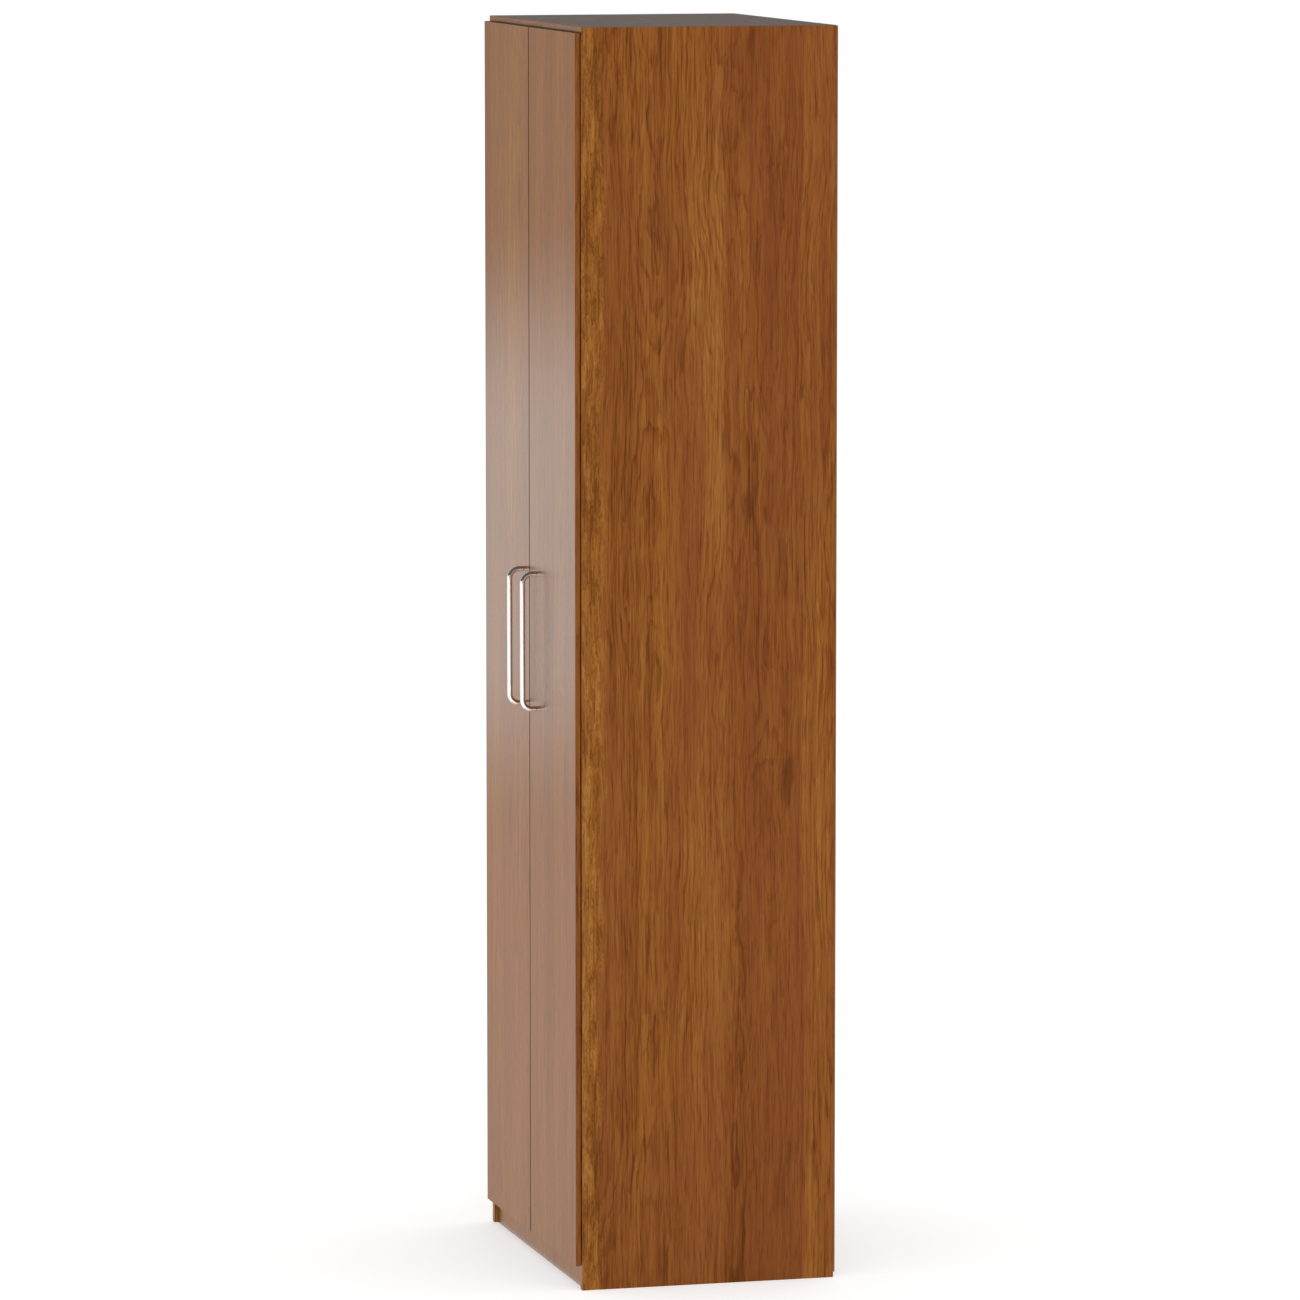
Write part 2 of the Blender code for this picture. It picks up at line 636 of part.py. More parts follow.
def door_solid():
    """Right-hand door board with a blind hole for every hinge cup and two screw holes."""
    board = block(
        (DOOR_SEAM / 2, DOOR_OUTER, DOOR_BOTTOM),
        (WIDTH / 2 - DOOR_SIDE_REVEAL, DOOR_INNER, DOOR_TOP),
        BOARD_EDGE_BREAK,
    )
    steps = []
    cup_x = hinge_place(1).x - CUP_RADIUS
    for z in HINGE_HEIGHTS:
        hole = circle((cup_x, z), CUP_RADIUS + CUP_HOLE_CLEARANCE, CUP_SIDES)
        floor = DOOR_INNER - CUP_DEPTH - CUP_HOLE_CLEARANCE
        steps.append(("DIFFERENCE", prism(hole, floor, DOOR_INNER + CUT_OVERRUN, along_y)))
    for way in (-1, 1):
        foot = (HANDLE_FROM_MIDDLE, HANDLE_HEIGHT + way * HANDLE_CENTRES / 2)
        hole = circle(foot, SCREW_SHANK / 2 + SCREW_CLEARANCE, SCREW_SIDES)
        steps.append(
            ("DIFFERENCE", prism(hole, DOOR_OUTER - CUT_OVERRUN, DOOR_INNER + CUT_OVERRUN, along_y))
        )
    return worked(board, *steps)


def build_doors():
    """Both doors with their handles, screws and hinges."""
    door = door_solid()
    handle = handle_solid(HANDLE_FROM_MIDDLE)
    cup = cup_solid()
    arm = arm_solid()
    plate = plate_solid()
    outer = outer_link_solid()
    inner = inner_link_solid()
    for side, name in ((-1, "left"), (1, "right")):
        door_axis = axis_empty(f"{name}_door_axis", CUP_PIN, side)
        outer_axis = axis_empty(f"{name}_outer_link_axis", ARM_OUTER_PIN, side)
        inner_axis = axis_empty(f"{name}_inner_link_axis", ARM_INNER_PIN, side)
        door_at = door_axis.location
        add_piece(f"{name}_door", handed(door, side), "door_laminate", door_at, door_axis)
        add_piece(f"{name}_handle", handed(handle, side), "chrome", door_at, door_axis)
        for way, where in ((-1, "lower"), (1, "upper")):
            z = HANDLE_HEIGHT + way * HANDLE_CENTRES / 2
            screw = screw_solid(side * HANDLE_FROM_MIDDLE, z)
            add_piece(f"{name}_handle_{where}_screw", screw, "zinc", door_at, door_axis)
        plate_x = side * (INSIDE - SEAT_GAP)
        for number, z in enumerate(HINGE_HEIGHTS, start=1):
            lift = Vector((0, 0, z))
            outer_at = outer_axis.location + lift
            inner_at = inner_axis.location + lift
            stem = f"{name}_hinge_{number}"
            place = hinge_place(side, z)
            add_piece(f"{stem}_plate", handed(plate, side, place), "nickel", (plate_x, FRONT + WING_FRONT, z))
            add_piece(f"{stem}_arm", handed(arm, side, place), "nickel", outer_at)
            add_piece(f"{stem}_cup", handed(cup, side, place), "nickel", door_at + lift, door_axis)
            add_piece(f"{stem}_outer_link", handed(outer, side, place), "zinc", outer_at, outer_axis)
            add_piece(f"{stem}_inner_link", handed(inner, side, place), "zinc", inner_at, inner_axis)
    for template in (door, handle, cup, arm, plate, outer, inner):
        bpy.data.meshes.remove(template)


for leftover in list(bpy.data.objects):
    bpy.data.objects.remove(leftover, do_unlink=True)
build_carcass()
build_rail()
build_doors()
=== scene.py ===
"""Dresses the two-door wardrobe: wood-print laminate, polished doors, chrome bows and hinge hardware.

Metres, +Z up, front towards -Y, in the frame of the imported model. Every piece keeps its place in its mesh.
Colours of three numbers are 8-bit display colours, colours of four are linear.
"""

import math

import bpy
import numpy as np
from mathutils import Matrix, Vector


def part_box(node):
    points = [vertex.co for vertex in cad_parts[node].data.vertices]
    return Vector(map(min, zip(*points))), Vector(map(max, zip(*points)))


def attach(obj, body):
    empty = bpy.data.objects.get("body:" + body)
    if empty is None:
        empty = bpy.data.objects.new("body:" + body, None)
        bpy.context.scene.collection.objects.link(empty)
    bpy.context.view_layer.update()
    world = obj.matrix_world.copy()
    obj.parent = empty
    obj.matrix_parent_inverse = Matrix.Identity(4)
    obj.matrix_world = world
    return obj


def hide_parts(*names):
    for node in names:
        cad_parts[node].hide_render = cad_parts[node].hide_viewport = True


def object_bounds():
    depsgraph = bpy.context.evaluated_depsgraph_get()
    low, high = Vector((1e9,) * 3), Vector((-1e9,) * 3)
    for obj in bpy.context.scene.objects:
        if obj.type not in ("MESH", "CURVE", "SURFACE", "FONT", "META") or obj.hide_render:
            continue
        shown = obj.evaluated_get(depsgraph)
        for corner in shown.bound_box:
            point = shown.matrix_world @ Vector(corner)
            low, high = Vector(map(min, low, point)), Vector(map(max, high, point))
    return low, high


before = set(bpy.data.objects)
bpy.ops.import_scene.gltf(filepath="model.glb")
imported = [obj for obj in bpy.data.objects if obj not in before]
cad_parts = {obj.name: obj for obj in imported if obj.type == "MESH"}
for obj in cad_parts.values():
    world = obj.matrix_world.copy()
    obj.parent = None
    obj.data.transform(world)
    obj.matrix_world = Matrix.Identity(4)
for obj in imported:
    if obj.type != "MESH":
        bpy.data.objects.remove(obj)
CAD_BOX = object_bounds()
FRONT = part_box("right_side_panel")[0].y
DOOR_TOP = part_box("right_door")[1].z

# Camera, from the photograph's perspective
CAMERA_PLACE = (13.5818, -3.6517, 2.8092)
CAMERA_AZIMUTH = 74.949
CAMERA_ELEVATION = 6.701
CAMERA_LENS = 206.38
CAMERA_SENSOR = 36.0
CAMERA_CLIP = (0.1, 500.0)

# Studio
WHITE = (1.0, 1.0, 1.0, 1.0)
SKY_LEVEL = 0.80
FLOOR_RADIUS = 60.0
FLOOR_SIDES = 96
FLOOR_TONE = (0.86, 0.86, 0.86, 1.0)
FLOOR_LIFT = 0.40
KEY_POWER = 172.0
KEY_WIDE = 5.0
KEY_TALL = 2.2
KEY_PLACE = (8.0, -2.4, 1.25)

# Boards that only polished surfaces see. Beyond the doors, and on the floor before them
DOOR_BOARD_PLACE = (-0.92, -0.47)
DOOR_BOARD_WIDE = 1.6
DOOR_BOARD_LOW = 0.0
DOOR_BOARD_TALL = 2.36
DOOR_BOARD_LOW_TONE = (0.665, 0.478, 0.362, 1.0)
DOOR_BOARD_MIDDLE_TONE = (0.895, 0.80, 0.72, 1.0)
DOOR_BOARD_HIGH_TONE = (0.51, 0.342, 0.232, 1.0)
DOOR_BOARD_RISE = (0.68, 1.08)
DOOR_BOARD_FALL = (1.50, 1.95)
FLOOR_BOARD_FROM = (-1.80, -0.80)
FLOOR_BOARD_TO = (0.36, -0.222)
FLOOR_BOARD_HEIGHT = 0.002

# Behind the top, overhead, and on the camera's side for the handles
TOP_BOARD_PLACE = (-1.60, 0.42)
TOP_BOARD_WIDE = 3.0
TOP_BOARD_LOW = 2.30
TOP_BOARD_TALL = 1.1
TOP_BOARD_TONE = (0.345, 0.288, 0.258, 1.0)
CEILING_BOARD_FROM = (-12.0, -12.0)
CEILING_BOARD_TO = (12.0, 12.0)
CEILING_BOARD_HEIGHT = 3.4
HANDLE_BOARD_PLACE = (6.0, -1.55)
HANDLE_BOARD_WIDE = 2.9
HANDLE_BOARD_LOW = 0.70
HANDLE_BOARD_TALL = 2.7
DARK_TONE = (0.10, 0.10, 0.10, 1.0)

# Boards by their place, and where the wood print starts on each
SIDES = ("left_side_panel", "right_side_panel")
CROSS_BOARDS = ("top_panel", "bottom_panel", "hat_shelf", "shoe_shelf")
BANDED = (*SIDES, *CROSS_BOARDS)
CAPPED = (*SIDES, "top_panel")
GRAIN_ACROSS = (*CROSS_BOARDS, "rear_plinth")
DOORS = ("left_door", "right_door")
PRINT_SHIFTS = {
    "left_side_panel": (0.0, 0.0, 0.0),
    "right_side_panel": (1.974, 2.469, 1.582),
    "top_panel": (0.0, 0.53, 0.0),
    "bottom_panel": (0.0, 0.94, 0.37),
    "hat_shelf": (0.0, 1.35, 0.74),
    "shoe_shelf": (0.0, 1.76, 1.11),
    "rear_plinth": (0.0, 2.17, 1.48),
    "front_plinth": (0.45, 0.0, 0.0),
    "left_door": (0.9, 0.0, 0.0),
    "right_door": (1.5, 0.0, 1.3),
}

# Bow handles
BOW_BEND = 0.0175
BOW_SIDES = 48
BOW_BEND_STEPS = 24
CRISP_ANGLE = 40.0

# Bands glued on the boards' front edges
BAND_THICK = 0.0006
BAND_ROUND = 0.0005
BAND_STEPS = 6

# Fastener heads: radius, rim, crown and recess, then how deep a head sits and how far each turns on
CUP_SCREW = (0.0040, 0.0002, 0.0007, 0.0006)
PLATE_SCREW = (0.0044, 0.0016, 0.0009, 0.0009)
ARM_SCREW = (0.0036, 0.0004, 0.0005, 0.0008)
CAM_DISC = (0.0075, 0.0004, 0.0002, 0.0005)
BACK_NAIL = (0.0021, 0.0002, 0.0007, 0.0)
HEAD_SUNK = 0.0002
HEAD_TURN = 0.9

# The cross in a head, in shares of its radius, and the grid lines that draw a head with or without it
CROSS_HALF = (0.12, 0.18)
CROSS_REACH = (0.54, 0.64)
CROSS_LINES = np.array((-1.0, -0.84, -0.64, -0.54, -0.18, -0.12, 0.12, 0.18, 0.54, 0.64, 0.84, 1.0))
PLAIN_LINES = np.array((-1.0, -0.6, 0.0, 0.6, 1.0))

# Where the fasteners sit on the hinges, the boards and the back
HINGE_NUMBERS = (1, 2, 3, 4)
CUP_FACE = 0.0011
CUP_SCREW_INSET = 0.0060
CUP_SCREW_HALF = 0.0225
PLATE_WING_HIGH = 0.0028
PLATE_SCREW_BACK = 0.0370
PLATE_SCREW_HALF = 0.0160
ARM_HIGH = 0.0144
ARM_SCREWS_BACK = (0.0250, 0.0480)
CAM_FROM_END = 0.034
CAM_FROM_EDGE = 0.050
NAIL_STEP = 0.140
NAIL_END = 0.060

# Noise in the wood print: cells to the metre across and along the grain, then detail and roughness
NOISE_MIDDLE = 0.5
DRIFT_CELLS = (3.0, 2.2, 3.0)
HEART_CELLS = (1.0, 1.6, 2.0)
RIPPLE_CELLS = (30.0, 5.0, 3.0, 0.55)
CLEAR_CELLS = (13.0, 1.8, 2.0)
BROAD_CELLS = (10.0, 1.1, 1.0)
NARROW_CELLS = (62.0, 1.6, 2.0)
FIBRE_CELLS = (250.0, 7.0, 3.0, 0.65)
HAIR_CELLS = (900.0, 21.0, 2.0, 0.6)
BURL_CELLS = (70.0, 13.0, 3.0, 0.62)
PORE_CELLS = (400.0, 20.0, 1.5)
RED_CELLS = (15.0, 1.2, 1.0)
FLECK_CELLS = (95.0, 50.0, 2.0)
SWAY_CELLS = (6.0, 4.5, 3.0, 0.6)

# How the grain drifts, strips of the print and rings of their logs to the metre, and how the rings lie
GRAIN_DRIFT = (0.030, 0.030, 0.0)
STRIPS = 13.0
RINGS = 105.0
LOGS_APART = 90.0
HEART_RANGE = (0.25, 0.75, 0.002, 0.062)
HEART_ASIDE = 0.040
RING_RIPPLE = 3.6
LATE_RISE = (0.58, 0.90)
LATE_FALL = (0.92, 1.0)
CLEAR_RANGE = (0.36, 0.62, 0.15, 1.0)

# Burl lines, pores, knots and flecks: how close they lie, and the noise values between which they show
BURL_LINES = 9.0
BURL_RISE = (0.45, 0.88)
BURL_FALL = (0.90, 1.0)
PORE_RANGE = (0.58, 0.69)
KNOT_SPREAD = (12.0, 12.0, 2.4)
KNOT_RAGGED = 0.35
KNOT_RANGE = (0.16, 0.05)
KNOT_CHANCE = (0.50, 0.60)
FLECK_RANGE = (0.58, 0.68)

# Tone of the print from 0, dark, to 1, pale: its middle, and what each part of the figure adds
TONE_MIDDLE = 0.565
BROAD_TONE = 0.46
NARROW_TONE = 0.62
FIBRE_PALEST = 0.56
FIBRE_MIDDLE = 0.49
FIBRE_TONE = 1.50
HAIR_TONE = 0.60
STRIP_TONE = 0.18
LATE_TONE = -0.32
SAP_TONE = 0.12
BURL_TONE = 1.90
BURL_LINE_TONE = -0.42

# Colours of the print: the tones' own, and the red, gold and dark parts with their shares
WOOD_TONES = (
    (0.02, (88, 41, 10)),
    (0.28, (117, 63, 22)),
    (0.50, (135, 79, 31)),
    (0.72, (149, 93, 40)),
    (0.98, (168, 114, 54)),
)
RED_WOOD = (127, 68, 35)
RED_RANGE = (0.40, 0.60, 0.0, 0.34)
RED_STRIPS = (0.45, 0.75)
RED_STRIP_SHARE = 0.28
RED_RIM_SHARE = 0.8
GOLD_WOOD = (155, 101, 38)
GOLD_SHARE = 0.24
DARK_WOOD = (84, 40, 11)
PORE_SHARE = 0.46
KNOT_SHARE = 0.60
FLECK_SHARE = 0.18

# Sapwood along the sides' front edges: its least width, how far it sways and how softly it ends
SAP_WIDE = 0.010
SAP_SWAY = 0.060
SAP_SOFT = 0.012

# Laminate: rubbed edges, the painted grey reflection on the upper faces, painted shade by the doors, and the
# surface
SQUARE_ON = 0.5
RUB_CELLS = (60.0, 60.0, 2.0)
RUB_LEAST = 0.5
RUB_WIDE = 0.0012
RUB_SHARE = 0.30
RUBBED_WOOD = (154, 100, 52)
# Painted reflection: upward faces get a speckled grey colour that stands for the grey surround mirrored at a
# grazing view
UPPER_REFLECTION_CELLS = (700.0, 700.0, 3.0, 0.7)
UPPER_REFLECTION_RANGE = (0.3, 0.7)
UPPER_REFLECTION_DARK = (84, 80, 79)
UPPER_REFLECTION_PALE = (104, 99, 98)
UPPER_REFLECTION_SHARE = 0.96
# Painted shade: a dark band on the front edges beside the doors' top, standing for the shadow in the gap
# behind the doors
DOOR_TOP_SHADE_BAND = (0.0022, 0.0014, 0.0, 0.85)
DOOR_TOP_SHADE = (40, 22, 10)
# Painted shade: the door's top and the strip along the seam between the doors are darkened, for the shadow
# in the gaps
SEAM_SHADE_HALF = 0.0026
SEAM_SHADE_SHARE = 0.9
SEAM_SHADE = (46, 25, 11)
LAMINATE_ROUGHNESS = (0.3, 0.7, 0.24, 0.33)
LAMINATE_RELIEF = (0.05, 0.0004)
LAMINATE_SPECULAR = 0.06
LACQUER_ROUGHNESS = 0.24
LACQUER_IOR = 1.66

# Back board: pressed fibre in flecks, tufts and clouds
BACK_FLECKS = (900.0, 260.0, 3.0, 0.65)
BACK_TUFTS = (150.0, 55.0, 3.0, 0.7)
BACK_CLOUDS = (5.0, 2.2, 4.0, 0.6)
BACK_FLECK_RANGE = (0.25, 0.75)
BACK_TUFT_RANGE = (0.40, 0.70, 0.0, 0.55)
BACK_CLOUD_RANGE = (0.35, 0.70, 0.0, 0.60)
BACK_DARK = (88, 58, 35)
BACK_PALE = (160, 119, 79)
BACK_TUFT = (84, 54, 31)
BACK_CLOUD = (154, 112, 72)
BACK_RUB_WIDE = 0.0020
BACK_RUB_SHARE = 0.5
BACK_RUBBED = (178, 140, 100)
BACK_FIGURE = 0.6
BACK_ROUGHNESS = (0.3, 0.7, 0.62, 0.80)
BACK_RELIEF = (0.12, 0.0005)
BACK_SPECULAR = 0.2

# Metals: bright and dull colour, roughness from polished to worn, scratches to the metre, share of metal
METALS = {
    "chrome": ((250, 249, 247), (240, 239, 238), (0.04, 0.09), 900.0, 1.0),
    "nickel": ((206, 202, 192), (184, 180, 170), (0.26, 0.40), 1400.0, 0.72),
    "zinc": ((190, 190, 188), (160, 161, 162), (0.32, 0.48), 700.0, 0.72),
}
METAL_CLOUDS = (35.0, 35.0, 3.0)
METAL_CLOUD_RANGE = (0.3, 0.8)
METAL_CLOUD_WEAR = 0.5
METAL_SCRATCH_WEAR = 0.5
METAL_WEAR_RANGE = (0.35, 0.65)
METAL_RELIEF = (0.02, 0.0001)
SCRATCH_LONG = 40
SCRATCH_DETAIL = 2.0


def srgb(red, green, blue):
    """Linear colour, with full alpha, of an 8-bit display colour."""
    values = np.array((red, green, blue)) / 255
    linear = np.where(values <= 0.04045, values / 12.92, ((values + 0.055) / 1.055) ** 2.4)
    return (*linear.tolist(), 1.0)


def add(tree, kind, feeds=None, **settings):
    """Adds one node: settings are its properties, feeds its inputs by name or place."""
    made = tree.nodes.new(kind)
    for key, value in settings.items():
        setattr(made, key, value)
    for key, value in (feeds or {}).items():
        if isinstance(value, bpy.types.NodeSocket):
            tree.links.new(value, made.inputs[key])
        else:
            made.inputs[key].default_value = value
    return made


def calc(tree, operation, first, second=0.0, third=0.0):
    """Result of one sum on two or three values."""
    return add(tree, "ShaderNodeMath", {0: first, 1: second, 2: third}, operation=operation).outputs[0]


def vector_calc(tree, operation, first, second, third=(0.0, 0.0, 0.0)):
    """Result of one sum on two or three vectors."""
    feeds = {0: first, 1: second, 2: third}
    return add(tree, "ShaderNodeVectorMath", feeds, operation=operation).outputs[0]


def parts(tree, vector):
    """The three numbers of a vector."""
    return add(tree, "ShaderNodeSeparateXYZ", {0: vector}).outputs


def ranged(tree, value, low, high, to_low=0.0, to_high=1.0, smooth=False):
    """Value carried from one range to another and held at the ends."""
    feeds = {"Value": value, "From Min": low, "From Max": high, "To Min": to_low, "To Max": to_high}
    kind = "SMOOTHSTEP" if smooth else "LINEAR"
    return add(tree, "ShaderNodeMapRange", feeds, interpolation_type=kind).outputs["Result"]


def varied(tree, base, value, weight, middle=NOISE_MIDDLE):
    """Base with the value's distance from its middle added, times a weight."""
    return calc(tree, "MULTIPLY_ADD", calc(tree, "SUBTRACT", value, middle), weight, base)


def lined(tree, value, rise, fall):
    """One line to each whole step of a value: it grows over the rise and ends over the fall."""
    step = calc(tree, "FRACT", value)
    return calc(tree, "SUBTRACT", ranged(tree, step, *rise), ranged(tree, step, *fall))


def blended(tree, amount, first, second):
    """Colour between two colours."""
    mix = add(tree, "ShaderNodeMix", {0: amount, 6: first, 7: second}, data_type="RGBA")
    return mix.outputs[2]


def cells(tree, point, across, along, detail, roughness=0.5):
    """Noise drawn out along the grain: so many cells to the metre across it and along it."""
    scaled = vector_calc(tree, "MULTIPLY", point, (across, across, along))
    feeds = {"Vector": scaled, "Scale": 1.0, "Detail": detail, "Roughness": roughness}
    return add(tree, "ShaderNodeTexNoise", feeds).outputs


def relief(tree, shader, height, strength, distance):
    """Fine relief on a shader."""
    bump = add(tree, "ShaderNodeBump", {"Strength": strength, "Distance": distance, "Height": height})
    tree.links.new(bump.outputs[0], shader.inputs["Normal"])


def new_group(name, inputs, outputs):
    """Empty shader group with its named sockets."""
    tree = bpy.data.node_groups.new(name, "ShaderNodeTree")
    for label, kind in inputs:
        tree.interface.new_socket(label, in_out="INPUT", socket_type="NodeSocket" + kind)
    for label, kind in outputs:
        tree.interface.new_socket(label, in_out="OUTPUT", socket_type="NodeSocket" + kind)
    return tree, tree.nodes.new("NodeGroupInput").outputs, tree.nodes.new("NodeGroupOutput").inputs


def wood_ramp(tree, tone):
    """Colour of the wood print for a tone."""
    ramp = add(tree, "ShaderNodeValToRGB", {"Fac": tone})
    stops = ramp.color_ramp.elements
    for stop, (place, colour) in zip(stops, (WOOD_TONES[0], WOOD_TONES[-1])):
        stop.position = place
        stop.color = srgb(*colour)
    for place, colour in WOOD_TONES[1:-1]:
        stops.new(place).color = srgb(*colour)
    return ramp.outputs["Color"]


def wood_print():
    """Printed wood, grain along Z, in strips of their own tone.

    In each strip the rings of a log sawn lengthwise: ring = RINGS * sqrt(aside^2 + depth^2), where depth,
    the way down to the log's heart, wanders along the grain and so draws straight lines or arches.
    """
    tree, given, result = new_group(
        "wood_print",
        [("Point", "Vector"), ("Sapwood", "Float"), ("Figure", "Float")],
        [("Colour", "Color"), ("Pores", "Float"), ("Fibres", "Float")],
    )
    sapwood = given["Sapwood"]
    heartwood = calc(tree, "SUBTRACT", 1.0, sapwood)

    # The grain drifts aside, and falls into strips
    drift = cells(tree, given["Point"], *DRIFT_CELLS)["Color"]
    drift = vector_calc(tree, "SUBTRACT", drift, (NOISE_MIDDLE, NOISE_MIDDLE, NOISE_MIDDLE))
    bent = vector_calc(tree, "MULTIPLY_ADD", drift, GRAIN_DRIFT, given["Point"])
    place = parts(tree, bent)
    across = calc(tree, "ADD", place["X"], place["Y"])
    feeds = {"W": across, "Scale": STRIPS}
    strip = add(tree, "ShaderNodeTexVoronoi", feeds, voronoi_dimensions="1D").outputs
    lot = add(tree, "ShaderNodeSeparateColor", {0: strip["Color"]}).outputs

    # Late wood of the rings, clear in some places and faint in others
    apart = [calc(tree, "MULTIPLY", lot[way], LOGS_APART) for way in (0, 1)]
    log = add(tree, "ShaderNodeCombineXYZ", {0: apart[0], 1: apart[1], 2: place["Z"]}).outputs[0]
    depth = ranged(tree, cells(tree, log, *HEART_CELLS)["Fac"], *HEART_RANGE)
    aside = varied(tree, calc(tree, "SUBTRACT", across, strip["W"]), lot[2], HEART_ASIDE)
    square = calc(tree, "MULTIPLY_ADD", aside, aside, calc(tree, "MULTIPLY", depth, depth))
    ripple = calc(tree, "MULTIPLY", cells(tree, bent, *RIPPLE_CELLS)["Fac"], RING_RIPPLE)
    ring = calc(tree, "MULTIPLY_ADD", calc(tree, "SQRT", square), RINGS, ripple)
    clear = ranged(tree, cells(tree, bent, *CLEAR_CELLS)["Fac"], *CLEAR_RANGE)
    clear = calc(tree, "MULTIPLY", clear, given["Figure"])
    late = calc(tree, "MULTIPLY", lined(tree, ring, LATE_RISE, LATE_FALL), clear)

    # Streaks, fibres, burl, pores and knots
    broad = cells(tree, bent, *BROAD_CELLS)["Fac"]
    narrow = cells(tree, bent, *NARROW_CELLS)["Fac"]
    fibres = cells(tree, bent, *FIBRE_CELLS)["Fac"]
    hairs = cells(tree, bent, *HAIR_CELLS)["Fac"]
    burl = cells(tree, bent, *BURL_CELLS)["Fac"]
    contour = lined(tree, calc(tree, "MULTIPLY", burl, BURL_LINES), BURL_RISE, BURL_FALL)
    pores = ranged(tree, cells(tree, bent, *PORE_CELLS)["Fac"], *PORE_RANGE)
    spaced = vector_calc(tree, "MULTIPLY", bent, KNOT_SPREAD)
    spot = add(tree, "ShaderNodeTexVoronoi", {"Vector": spaced, "Scale": 1.0}).outputs
    chosen = add(tree, "ShaderNodeSeparateColor", {0: spot["Color"]}).outputs[0]
    knots = varied(tree, spot["Distance"], burl, KNOT_RAGGED)
    knots = ranged(tree, knots, *KNOT_RANGE, smooth=True)
    knots = calc(tree, "MULTIPLY", knots, ranged(tree, chosen, *KNOT_CHANCE))

    tone = varied(tree, TONE_MIDDLE, broad, BROAD_TONE)
    tone = varied(tree, tone, narrow, NARROW_TONE)
    tone = varied(tree, tone, calc(tree, "MINIMUM", fibres, FIBRE_PALEST), FIBRE_TONE, FIBRE_MIDDLE)
    tone = varied(tree, tone, hairs, HAIR_TONE)
    tone = varied(tree, tone, lot[0], STRIP_TONE)
    tone = calc(tree, "MULTIPLY_ADD", late, LATE_TONE, tone)
    tone = calc(tree, "MULTIPLY_ADD", sapwood, SAP_TONE, tone)
    swirl = calc(tree, "MULTIPLY", calc(tree, "SUBTRACT", burl, NOISE_MIDDLE), sapwood)
    tone = calc(tree, "MULTIPLY_ADD", swirl, BURL_TONE, tone)
    tone = calc(tree, "MULTIPLY_ADD", calc(tree, "MULTIPLY", contour, sapwood), BURL_LINE_TONE, tone)

    # Red in the heartwood and where it meets the sapwood, gold in the sapwood, dark pores, knots and flecks
    red = ranged(tree, cells(tree, bent, *RED_CELLS)["Fac"], *RED_RANGE, smooth=True)
    red = calc(tree, "MULTIPLY_ADD", ranged(tree, lot[1], *RED_STRIPS), RED_STRIP_SHARE, red)
    red = calc(tree, "MULTIPLY", red, heartwood)
    red = calc(tree, "MULTIPLY_ADD", calc(tree, "MULTIPLY", sapwood, heartwood), RED_RIM_SHARE, red)
    colour = blended(tree, red, wood_ramp(tree, tone), srgb(*RED_WOOD))
    colour = blended(tree, calc(tree, "MULTIPLY", sapwood, GOLD_SHARE), colour, srgb(*GOLD_WOOD))
    flecks = ranged(tree, cells(tree, bent, *FLECK_CELLS)["Fac"], *FLECK_RANGE)
    flecks = calc(tree, "MULTIPLY", calc(tree, "MULTIPLY", flecks, sapwood), FLECK_SHARE)
    dark = calc(tree, "MULTIPLY", pores, PORE_SHARE)
    dark = calc(tree, "MAXIMUM", dark, calc(tree, "MULTIPLY", knots, KNOT_SHARE))
    dark = calc(tree, "MAXIMUM", dark, flecks)
    colour = blended(tree, dark, colour, srgb(*DARK_WOOD))
    tree.links.new(colour, result["Colour"])
    tree.links.new(pores, result["Pores"])
    tree.links.new(fibres, result["Fibres"])
    return tree


def edge_rub():
    """Mask along a board's edges: on a face the middle one of the three depths is the way to the edge."""
    tree, given, result = new_group(
        "edge_rub",
        [("Point", "Vector"), ("Low", "Vector"), ("High", "Vector"), ("Width", "Float")],
        [("Rub", "Float")],
    )
    up = vector_calc(tree, "SUBTRACT", given["Point"], given["Low"])
    down = vector_calc(tree, "SUBTRACT", given["High"], given["Point"])
    depth = parts(tree, vector_calc(tree, "MINIMUM", up, down))
    lesser = calc(tree, "MINIMUM", depth[0], depth[1])
    greater = calc(tree, "MAXIMUM", depth[0], depth[1])
    middle = calc(tree, "MAXIMUM", lesser, calc(tree, "MINIMUM", greater, depth[2]))
    uneven = cells(tree, given["Point"], *RUB_CELLS)["Fac"]
    reach = calc(tree, "MULTIPLY", given["Width"], calc(tree, "ADD", uneven, RUB_LEAST))
    rub = calc(tree, "SUBTRACT", 1.0, calc(tree, "DIVIDE", middle, reach))
    tree.links.new(calc(tree, "MAXIMUM", rub, 0.0), result["Rub"])
    return tree


def new_material(name):
    """Material with its Principled shader and the coordinates of its piece."""
    material = bpy.data.materials.new(name)
    material.use_nodes = True
    tree = material.node_tree
    return material, tree, tree.nodes["Principled BSDF"], add(tree, "ShaderNodeTexCoord").outputs


def place_group(tree, group, feeds):
    """Outputs of one use of a shared group, with its own values."""
    return add(tree, "ShaderNodeGroup", feeds, node_tree=GROUPS[group]).outputs


def sapwood_edge(tree, point, back):
    """One in the sapwood along a side's front edge, none behind it."""
    sway = cells(tree, point, *SWAY_CELLS)["Fac"]
    back = calc(tree, "MULTIPLY_ADD", sway, -SAP_SWAY, back)
    edge = FRONT + SAP_WIDE
    return ranged(tree, back, edge - SAP_SOFT, edge + SAP_SOFT, 1.0, 0.0, smooth=True)


